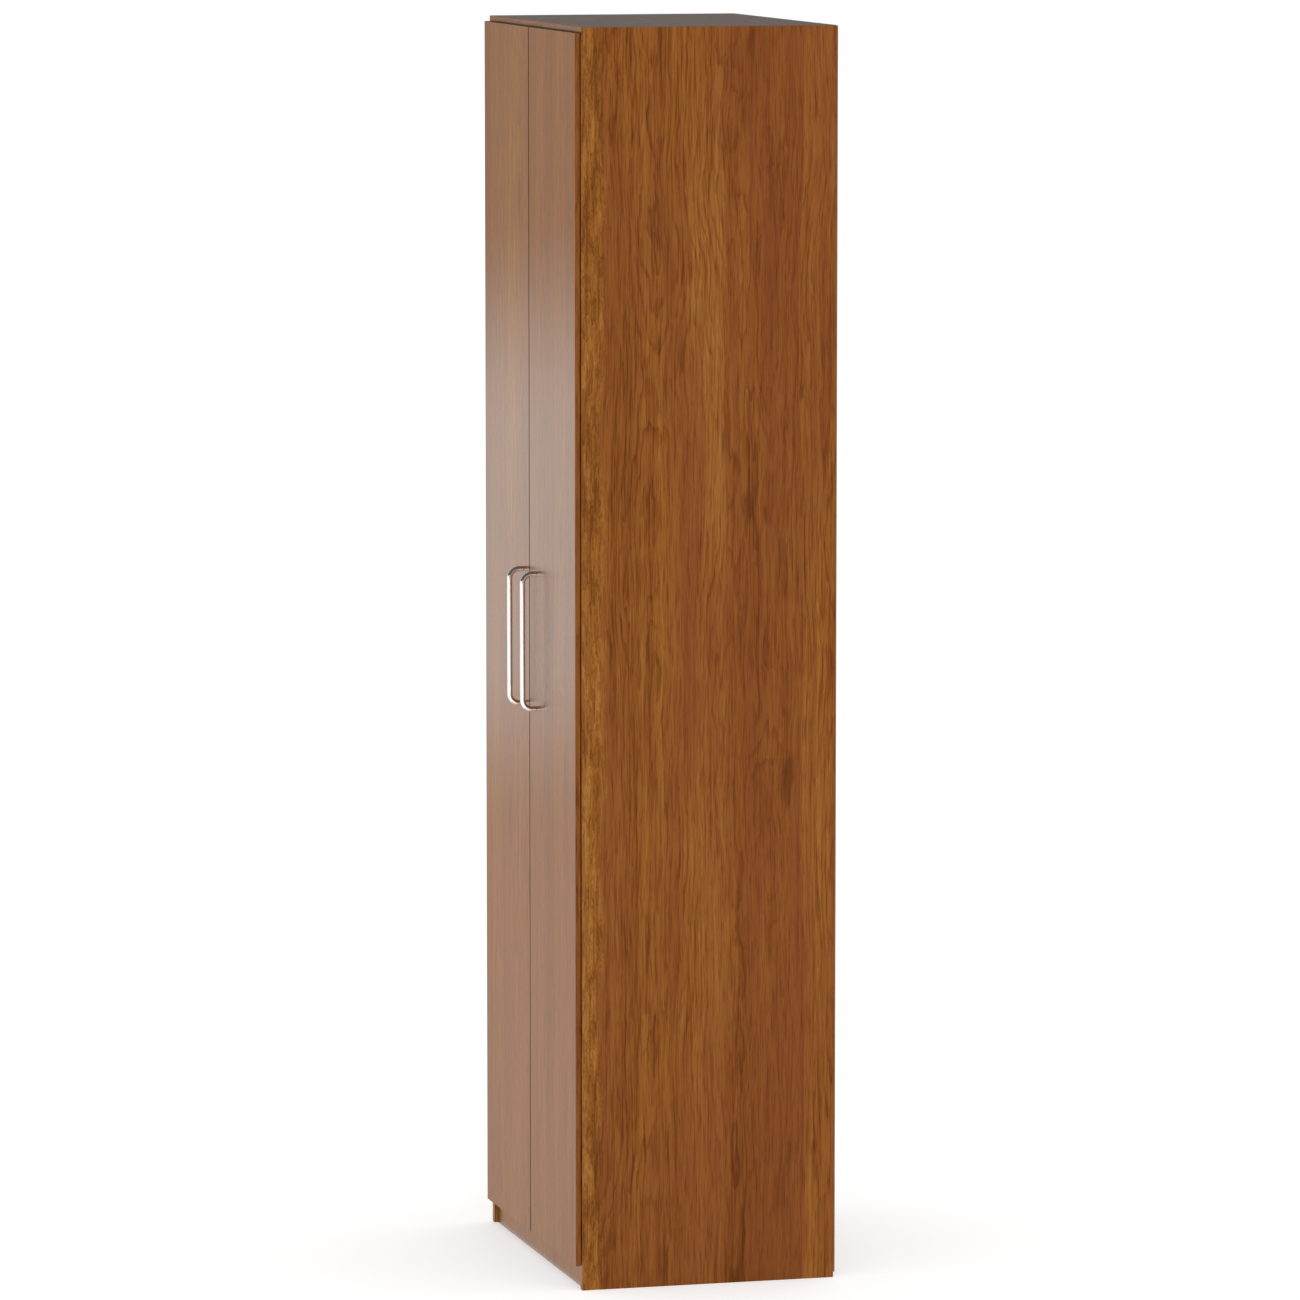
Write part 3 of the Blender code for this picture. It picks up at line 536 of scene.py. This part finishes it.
def laminate(node):
    """Wood-print laminate of one board, its print shifted so that no two boards match, lacquered in front.

    The sides have sapwood along the front. The boards that reach the top have a painted grey reflection on
    the upper face and a painted shade line in front where the doors end. A door is lacquered on both faces,
    and its top and its seam edge are painted dark as shade in the gaps.
    """
    material, tree, shader, seat = new_material(node + "_laminate")
    point = seat["Object"]
    place = parts(tree, point)
    facing = parts(tree, seat["Normal"])
    turn = (0.0, math.radians(90) if node in GRAIN_ACROSS else 0.0, 0.0)
    feeds = {"Vector": point, "Location": PRINT_SHIFTS[node], "Rotation": turn}
    mapped = add(tree, "ShaderNodeMapping", feeds).outputs[0]
    sapwood = sapwood_edge(tree, point, place["Y"]) if node in SIDES else 0.0
    wood = place_group(tree, "wood_print", {"Point": mapped, "Sapwood": sapwood, "Figure": 1.0})
    low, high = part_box(node)
    rub = place_group(tree, "edge_rub", {"Point": point, "Low": low, "High": high, "Width": RUB_WIDE})["Rub"]
    colour = blended(tree, calc(tree, "MULTIPLY", rub, RUB_SHARE), wood["Colour"], srgb(*RUBBED_WOOD))
    upward = calc(tree, "GREATER_THAN", facing["Z"], SQUARE_ON)
    lacquer = calc(tree, "LESS_THAN", facing["Y"], -SQUARE_ON)
    if node in CAPPED:
        # Painted reflection: upward faces take a grey colour in place of the surround mirrored at a grazing
        # view
        specks = ranged(tree, cells(tree, point, *UPPER_REFLECTION_CELLS)["Fac"], *UPPER_REFLECTION_RANGE)
        painted_reflection = blended(tree, specks, srgb(*UPPER_REFLECTION_DARK), srgb(*UPPER_REFLECTION_PALE))
        colour = blended(tree, calc(tree, "MULTIPLY", upward, UPPER_REFLECTION_SHARE), colour, painted_reflection)
        # Painted shade: a dark band on the front faces beside the doors' top edge, for the shadow in the gap
        # behind the doors
        beside = calc(tree, "ABSOLUTE", calc(tree, "SUBTRACT", place["Z"], DOOR_TOP))
        line = calc(tree, "MULTIPLY", ranged(tree, beside, *DOOR_TOP_SHADE_BAND), lacquer)
        colour = blended(tree, line, colour, srgb(*DOOR_TOP_SHADE))
    if node in DOORS:
        # Painted shade: the door's top face and the strip along the seam are darkened and lose their
        # lacquer, for the shadow in the gaps
        lacquer = calc(tree, "GREATER_THAN", calc(tree, "ABSOLUTE", facing["Y"]), SQUARE_ON)
        seam = calc(tree, "LESS_THAN", calc(tree, "ABSOLUTE", place["X"]), SEAM_SHADE_HALF)
        dark = calc(tree, "MAXIMUM", upward, seam)
        colour = blended(tree, calc(tree, "MULTIPLY", dark, SEAM_SHADE_SHARE), colour, srgb(*SEAM_SHADE))
        lacquer = calc(tree, "MULTIPLY", lacquer, calc(tree, "SUBTRACT", 1.0, dark))
    tree.links.new(colour, shader.inputs["Base Color"])
    tree.links.new(ranged(tree, wood["Fibres"], *LAMINATE_ROUGHNESS), shader.inputs["Roughness"])
    height = calc(tree, "MULTIPLY_ADD", wood["Pores"], -1.0, wood["Fibres"])
    relief(tree, shader, height, *LAMINATE_RELIEF)
    shader.inputs["Specular IOR Level"].default_value = LAMINATE_SPECULAR
    tree.links.new(lacquer, shader.inputs["Coat Weight"])
    shader.inputs["Coat Roughness"].default_value = LACQUER_ROUGHNESS
    shader.inputs["Coat IOR"].default_value = LACQUER_IOR
    return material


def fibreboard():
    """Thin back board: pressed brown fibre outside, the wood print on the face that looks inside."""
    material, tree, shader, seat = new_material("back_board")
    point = seat["Object"]
    flecks = cells(tree, point, *BACK_FLECKS)["Fac"]
    tufts = ranged(tree, cells(tree, point, *BACK_TUFTS)["Fac"], *BACK_TUFT_RANGE)
    clouds = ranged(tree, cells(tree, point, *BACK_CLOUDS)["Fac"], *BACK_CLOUD_RANGE)
    raw = blended(tree, ranged(tree, flecks, *BACK_FLECK_RANGE), srgb(*BACK_DARK), srgb(*BACK_PALE))
    raw = blended(tree, tufts, raw, srgb(*BACK_TUFT))
    raw = blended(tree, clouds, raw, srgb(*BACK_CLOUD))
    low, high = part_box("back_panel")
    feeds = {"Point": point, "Low": low, "High": high, "Width": BACK_RUB_WIDE}
    rub = calc(tree, "MULTIPLY", place_group(tree, "edge_rub", feeds)["Rub"], BACK_RUB_SHARE)
    raw = blended(tree, rub, raw, srgb(*BACK_RUBBED))
    wood = place_group(tree, "wood_print", {"Point": point, "Sapwood": 0.0, "Figure": BACK_FIGURE})
    inside = calc(tree, "LESS_THAN", parts(tree, seat["Normal"])["Y"], -SQUARE_ON)
    tree.links.new(blended(tree, inside, raw, wood["Colour"]), shader.inputs["Base Color"])
    tree.links.new(ranged(tree, flecks, *BACK_ROUGHNESS), shader.inputs["Roughness"])
    relief(tree, shader, flecks, *BACK_RELIEF)
    shader.inputs["Specular IOR Level"].default_value = BACK_SPECULAR
    return material


def metal(name, bright, dull, roughness, scratched, share):
    """Plated metal: cloudy tone, and a polish that is broken by fine drawn scratches."""
    material, tree, shader, seat = new_material(name)
    point = seat["Object"]
    scratches = cells(tree, point, scratched, scratched / SCRATCH_LONG, SCRATCH_DETAIL)["Fac"]
    clouds = cells(tree, point, *METAL_CLOUDS)["Fac"]
    colour = blended(tree, ranged(tree, clouds, *METAL_CLOUD_RANGE), srgb(*bright), srgb(*dull))
    tree.links.new(colour, shader.inputs["Base Color"])
    wear = calc(tree, "MULTIPLY", scratches, METAL_SCRATCH_WEAR)
    wear = calc(tree, "MULTIPLY_ADD", clouds, METAL_CLOUD_WEAR, wear)
    tree.links.new(ranged(tree, wear, *METAL_WEAR_RANGE, *roughness), shader.inputs["Roughness"])
    relief(tree, shader, scratches, *METAL_RELIEF)
    shader.inputs["Metallic"].default_value = share
    return material


def new_piece(name, points, faces, material, body):
    """Smooth piece with crisp edges, from its points and faces."""
    mesh = bpy.data.meshes.new(name)
    mesh.from_pydata(points.tolist(), [], faces)
    mesh.shade_smooth()
    mesh.set_sharp_from_angle(angle=math.radians(CRISP_ANGLE))
    mesh.materials.append(material)
    piece = bpy.data.objects.new(name, mesh)
    bpy.context.scene.collection.objects.link(piece)
    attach(piece, body)
    return piece


def skin(name, rings, material, body):
    """Closed piece through rings of points: point j of ring i joins j+1 and ring i+1, with flat end caps."""
    count, sides = rings.shape[:2]
    start = (np.arange(count - 1)[:, None] * sides + np.arange(sides)[None, :]).ravel()
    turn = (np.arange(count - 1)[:, None] * sides + (np.arange(sides) + 1)[None, :] % sides).ravel()
    quads = np.stack([start, turn, turn + sides, start + sides], axis=1)
    caps = [list(range(sides))[::-1], list(range((count - 1) * sides, count * sides))]
    return new_piece(name, rings.reshape(-1, 3), quads.tolist() + caps, material, body)


def edge_band(node, material):
    """Strip with two rounded corners along a board's front edge.

    Section: across = -+(half - r + r cos q), out = t - r + r sin q, with q from 0 to 90 degrees at a corner.
    """
    low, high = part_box(node)
    upright = node in SIDES
    half = (high.x - low.x if upright else high.z - low.z) / 2
    q = np.linspace(0.0, math.pi / 2, BAND_STEPS)
    across = half - BAND_ROUND + BAND_ROUND * np.cos(q)
    across = np.concatenate([[-half], -across, across[::-1], [half]])
    out = BAND_THICK - BAND_ROUND + BAND_ROUND * np.sin(q)
    out = np.concatenate([[0.0], out, out[::-1], [0.0]])
    rings = np.empty((2, len(out), 3))
    rings[:, :, 1] = low.y - out
    if upright:
        rings[:, :, 0] = (low.x + high.x) / 2 + across
        rings[:, :, 2] = np.array((low.z, high.z))[:, None]
    else:
        rings[:, :, 0] = np.array((high.x, low.x))[:, None]
        rings[:, :, 2] = (low.z + high.z) / 2 + across
    skin(f"{node}_band", rings, material, "carcass")


def bow_path(out, half):
    """Centre line of a bow: out from one foot, round a quarter turn, along the grip and back the same way.

    Returns the distances from the door, the heights and the turn of the bar at each point.
    """
    turn = np.linspace(-math.pi / 2, 0.0, BOW_BEND_STEPS + 1)
    away = out - BOW_BEND + BOW_BEND * np.cos(turn)
    height = -half + BOW_BEND + BOW_BEND * np.sin(turn)
    away = np.concatenate([[0.0], away])
    height = np.concatenate([[-half], height])
    turn = np.concatenate([[-math.pi / 2], turn])
    away = np.concatenate([away, away[::-1]])
    height = np.concatenate([height, -height[::-1]])
    turn = np.concatenate([turn, -turn[::-1]])
    return away, height, turn


def bow_handle(side, material):
    """Round bar carried along the bow: point = path + r cos(u) (out, up) + r sin(u) sideways."""
    low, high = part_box(f"{side}_handle")
    radius = (high.x - low.x) / 2
    half = (high.z - low.z) / 2 - radius
    away, height, turn = bow_path(high.y - low.y - radius, half)
    u = np.linspace(0.0, 2 * math.pi, BOW_SIDES, endpoint=False)
    out = away[:, None] + radius * np.cos(u)[None, :] * np.cos(turn)[:, None]
    up = height[:, None] + radius * np.cos(u)[None, :] * np.sin(turn)[:, None]
    across = np.broadcast_to(radius * np.sin(u)[None, :], out.shape)
    rings = np.stack([(low.x + high.x) / 2 + across, high.y - out, (low.z + high.z) / 2 + up], axis=2)
    piece = skin(f"{side}_bow", rings, material, f"{side}_door")
    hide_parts(f"{side}_handle")


def fastener_heads(name, places, facing, size, material, body):
    """Round crowned heads, one at each place, every cross turned its own way.

    A square grid a, b is drawn to a disc, x = a sqrt(1 - b^2 / 2) and y = b sqrt(1 - a^2 / 2), and its
    height is rim + crown (1 - x^2 - y^2), less the recess where a or b lies within the cross. The edge drops
    to the seat.
    """
    radius, rim, crown, recess = size
    lines = CROSS_LINES if recess else PLAIN_LINES
    a, b = (grid.ravel() for grid in np.meshgrid(lines, lines, indexing="ij"))
    x, y = a * np.sqrt(1 - b * b / 2), b * np.sqrt(1 - a * a / 2)
    near, far = np.minimum(abs(a), abs(b)), np.maximum(abs(a), abs(b))
    cross = np.interp(near, CROSS_HALF, (1.0, 0.0)) * np.interp(far, CROSS_REACH, (1.0, 0.0))
    high = rim + crown * (1 - x * x - y * y) - recess * cross
    grid = np.arange(len(a)).reshape(len(lines), len(lines))
    edge = np.concatenate([grid[0, :-1], grid[:-1, -1], grid[-1, :0:-1], grid[:0:-1, 0]])
    seat = len(a) + np.arange(len(edge))
    x, y = radius * np.append(x, x[edge]), radius * np.append(y, y[edge])
    high = np.append(high, np.full(len(edge), -HEAD_SUNK))

    places, facing = np.array(places), np.array(facing)
    up = np.array((0.0, 0.0, 1.0)) if facing[2] == 0 else np.array((0.0, 1.0, 0.0))
    turn = HEAD_TURN * np.arange(len(places))[:, None]
    across = (x * np.cos(turn) - y * np.sin(turn))[:, :, None] * np.cross(up, facing)
    points = places[:, None, :] + across + (x * np.sin(turn) + y * np.cos(turn))[:, :, None] * up
    points = points + high[None, :, None] * facing
    top = np.stack([grid[:-1, :-1], grid[1:, :-1], grid[1:, 1:], grid[:-1, 1:]], axis=2).reshape(-1, 4)
    side = np.stack([edge, np.roll(edge, -1), np.roll(seat, -1), seat], axis=1)
    first = np.arange(len(places)) * len(x)
    quads = (first[:, None, None] + np.concatenate([top, side])).reshape(-1, 4)
    seats = first[:, None] + seat
    new_piece(name, points.reshape(-1, 3), quads.tolist() + seats.tolist(), material, body)


def hinge_fasteners(side, material):
    """Screws of one side's hinges: in the cups' wings, in the plates' wings and on the arms."""
    door = f"{side}_door"
    low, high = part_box(door)
    sign = math.copysign(1.0, low.x + high.x)
    door_face = high.y
    side_face = min(abs(corner.x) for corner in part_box(f"{side}_side_panel"))
    in_cups, on_plates, on_arms = [], [], []
    for number in HINGE_NUMBERS:
        low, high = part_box(f"{side}_hinge_{number}_cup")
        middle = (low.z + high.z) / 2
        wing = min(abs(low.x), abs(high.x)) + CUP_SCREW_INSET
        seat = sign * (side_face - PLATE_WING_HIGH)
        for way in (-1, 1):
            in_cups.append((sign * wing, door_face + CUP_FACE, middle + way * CUP_SCREW_HALF))
            on_plates.append((seat, FRONT + PLATE_SCREW_BACK, middle + way * PLATE_SCREW_HALF))
        for back in ARM_SCREWS_BACK:
            on_arms.append((sign * (side_face - ARM_HIGH), FRONT + back, middle))
    inward, rearward = (-sign, 0.0, 0.0), (0.0, 1.0, 0.0)
    fastener_heads(f"{side}_cup_screws", in_cups, rearward, CUP_SCREW, material, door)
    fastener_heads(f"{side}_plate_screws", on_plates, inward, PLATE_SCREW, material, "carcass")
    fastener_heads(f"{side}_arm_screws", on_arms, inward, ARM_SCREW, material, "carcass")


def nail_row(low, high):
    """Places of the nails along one row, evenly spaced between its ends."""
    count = round((high - low - 2 * NAIL_END) / NAIL_STEP) + 1
    return np.linspace(low + NAIL_END, high - NAIL_END, count)


def board_fasteners(material):
    """Cam discs under the level boards, and nails in the back board along the sides and the level boards."""
    discs = []
    for name in CROSS_BOARDS:
        low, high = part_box(name)
        for x in (low.x + CAM_FROM_END, high.x - CAM_FROM_END):
            discs += [(x, y, low.z) for y in (low.y + CAM_FROM_EDGE, high.y - CAM_FROM_EDGE)]
    fastener_heads("cam_discs", discs, (0.0, 0.0, -1.0), CAM_DISC, material, "carcass")

    low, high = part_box("back_panel")
    nails = []
    for name in SIDES:
        middle = (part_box(name)[0].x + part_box(name)[1].x) / 2
        nails += [(middle, high.y, z) for z in nail_row(low.z, high.z)]
    for name in CROSS_BOARDS:
        middle = (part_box(name)[0].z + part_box(name)[1].z) / 2
        nails += [(x, high.y, middle) for x in nail_row(low.x, high.x)]
    fastener_heads("back_nails", nails, (0.0, 1.0, 0.0), BACK_NAIL, material, "carcass")


def dress(names, material):
    """Gives CAD nodes their finish."""
    for name in names:
        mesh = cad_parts[name].data
        mesh.materials.clear()
        mesh.materials.append(material)


def seen(tree):
    """One where the camera, a polished surface or glass looks, none where light is only gathered."""
    path = add(tree, "ShaderNodeLightPath").outputs
    direct = calc(tree, "MAXIMUM", path["Is Camera Ray"], path["Is Glossy Ray"])
    return calc(tree, "MAXIMUM", direct, path["Is Transmission Ray"])


def studio_world():
    """Even soft light all round, white where it is looked at."""
    world = bpy.data.worlds.new("studio")
    bpy.context.scene.world = world
    world.use_nodes = True
    tree = world.node_tree
    tree.nodes.clear()
    soft = add(tree, "ShaderNodeBackground", {"Color": WHITE, "Strength": SKY_LEVEL})
    white = add(tree, "ShaderNodeBackground", {"Color": WHITE, "Strength": 1.0})
    mix = add(tree, "ShaderNodeMixShader", {0: seen(tree), 1: soft.outputs[0], 2: white.outputs[0]})
    add(tree, "ShaderNodeOutputWorld", {"Surface": mix.outputs[0]})


def bare_material(name):
    """Material with an empty tree."""
    material = bpy.data.materials.new(name)
    material.use_nodes = True
    material.node_tree.nodes.clear()
    return material, material.node_tree


def studio_sheet(name, corners, material):
    """Flat stage sheet between corners."""
    mesh = bpy.data.meshes.new(name)
    mesh.from_pydata(corners, [], [list(range(len(corners)))])
    mesh.materials.append(material)
    sheet = bpy.data.objects.new(name, mesh)
    bpy.context.scene.collection.objects.link(sheet)
    return sheet


def studio_floor():
    """Pale round floor that keeps the wardrobe's shadow."""
    material, tree = bare_material("floor")
    matt = add(tree, "ShaderNodeBsdfDiffuse", {"Color": FLOOR_TONE})
    lift = add(tree, "ShaderNodeEmission", {"Strength": calc(tree, "MULTIPLY", seen(tree), FLOOR_LIFT)})
    both = add(tree, "ShaderNodeAddShader", {0: matt.outputs[0], 1: lift.outputs[0]})
    add(tree, "ShaderNodeOutputMaterial", {"Surface": both.outputs[0]})
    turn = np.linspace(0.0, 2 * math.pi, FLOOR_SIDES, endpoint=False)
    ring = np.stack([FLOOR_RADIUS * np.cos(turn), FLOOR_RADIUS * np.sin(turn), 0.0 * turn], axis=1)
    studio_sheet("floor", ring.tolist(), material)


def reflected_board(name, corners, tone):
    """Flat board seen by polished surfaces alone, of one tone or of one that a function gives."""
    material, tree = bare_material(name)
    glow = add(tree, "ShaderNodeEmission", {"Color": tone(tree) if callable(tone) else tone})
    add(tree, "ShaderNodeOutputMaterial", {"Surface": glow.outputs[0]})
    board = studio_sheet(name, corners, material)
    board.visible_camera = False
    board.visible_diffuse = False
    board.visible_shadow = False
    board.visible_transmission = False


def upright_corners(place, wide, low, tall):
    """Corners of an upright board that stands across the camera's line of sight."""
    turn = math.radians(CAMERA_AZIMUTH)
    half = np.array((math.cos(turn), math.sin(turn))) * wide / 2
    ends = (np.array(place) - half, np.array(place) + half)
    return [(*ends[0], low), (*ends[1], low), (*ends[1], low + tall), (*ends[0], low + tall)]


def level_corners(start, end, height):
    """Corners of a level board between two opposite corners."""
    (x0, y0), (x1, y1) = start, end
    return [(x0, y0, height), (x1, y0, height), (x1, y1, height), (x0, y1, height)]


def door_board_tone(tree):
    """Warm near the floor, pale at the handles' height and brown above."""
    height = parts(tree, add(tree, "ShaderNodeTexCoord").outputs["Object"])["Z"]
    rise = ranged(tree, height, *DOOR_BOARD_RISE, smooth=True)
    fall = ranged(tree, height, *DOOR_BOARD_FALL, smooth=True)
    tone = blended(tree, rise, DOOR_BOARD_LOW_TONE, DOOR_BOARD_MIDDLE_TONE)
    return blended(tree, fall, tone, DOOR_BOARD_HIGH_TONE)


def studio_boards():
    """Stands up the boards that the doors, the top and the handles reflect."""
    corners = upright_corners(DOOR_BOARD_PLACE, DOOR_BOARD_WIDE, DOOR_BOARD_LOW, DOOR_BOARD_TALL)
    reflected_board("door_board", corners, door_board_tone)
    corners = level_corners(FLOOR_BOARD_FROM, FLOOR_BOARD_TO, FLOOR_BOARD_HEIGHT)
    reflected_board("floor_board", corners, DOOR_BOARD_LOW_TONE)
    corners = upright_corners(TOP_BOARD_PLACE, TOP_BOARD_WIDE, TOP_BOARD_LOW, TOP_BOARD_TALL)
    reflected_board("top_board", corners, TOP_BOARD_TONE)
    corners = upright_corners(HANDLE_BOARD_PLACE, HANDLE_BOARD_WIDE, HANDLE_BOARD_LOW, HANDLE_BOARD_TALL)
    reflected_board("handle_board", corners, DARK_TONE)
    corners = level_corners(CEILING_BOARD_FROM, CEILING_BOARD_TO, CEILING_BOARD_HEIGHT)
    reflected_board("ceiling_board", corners, DARK_TONE)


def key_light():
    """Large soft lamp on the camera's side, at the wardrobe's middle height and unseen in reflections."""
    lamp = bpy.data.lights.new("key", "AREA")
    lamp.energy = KEY_POWER
    lamp.shape = "RECTANGLE"
    lamp.size = KEY_WIDE
    lamp.size_y = KEY_TALL
    key = bpy.data.objects.new("key", lamp)
    key.location = KEY_PLACE
    aim = Vector((0.0, 0.0, CAD_BOX[1].z / 2)) - key.location
    key.rotation_euler = aim.to_track_quat("-Z", "Y").to_euler()
    key.visible_glossy = False
    bpy.context.scene.collection.objects.link(key)


def photo_camera():
    """Camera at the photograph's place, looking the way its two angles give."""
    lens = bpy.data.cameras.new("camera")
    lens.lens = CAMERA_LENS
    lens.sensor_width = CAMERA_SENSOR
    lens.clip_start, lens.clip_end = CAMERA_CLIP
    camera = bpy.data.objects.new("camera", lens)
    camera.location = CAMERA_PLACE
    camera.rotation_euler = (math.radians(90 - CAMERA_ELEVATION), 0.0, math.radians(CAMERA_AZIMUTH))
    bpy.context.scene.collection.objects.link(camera)
    bpy.context.scene.camera = camera


GROUPS = {"wood_print": wood_print(), "edge_rub": edge_rub()}
bpy.context.scene.view_settings.view_transform = "Standard"
photo_camera()
studio_world()
studio_floor()
key_light()
studio_boards()

for name in PRINT_SHIFTS:
    board = laminate(name)
    dress([name], board)
    if name in BANDED:
        edge_band(name, board)
dress(["back_panel"], fibreboard())

CHROME, NICKEL, ZINC = (metal(name, *look) for name, look in METALS.items())
dress(["hanging_rail"], CHROME)
dress(["left_rail_socket", "right_rail_socket"], NICKEL)
for side in ("left", "right"):
    bow_handle(side, CHROME)
    dress([f"{side}_handle"], CHROME)
    dress([f"{side}_handle_{end}_screw" for end in ("lower", "upper")], ZINC)
    hinge_fasteners(side, ZINC)
    for number in HINGE_NUMBERS:
        dress([f"{side}_hinge_{number}_{piece}" for piece in ("plate", "arm", "cup")], NICKEL)
        dress([f"{side}_hinge_{number}_{piece}" for piece in ("outer_link", "inner_link")], ZINC)
board_fasteners(ZINC)
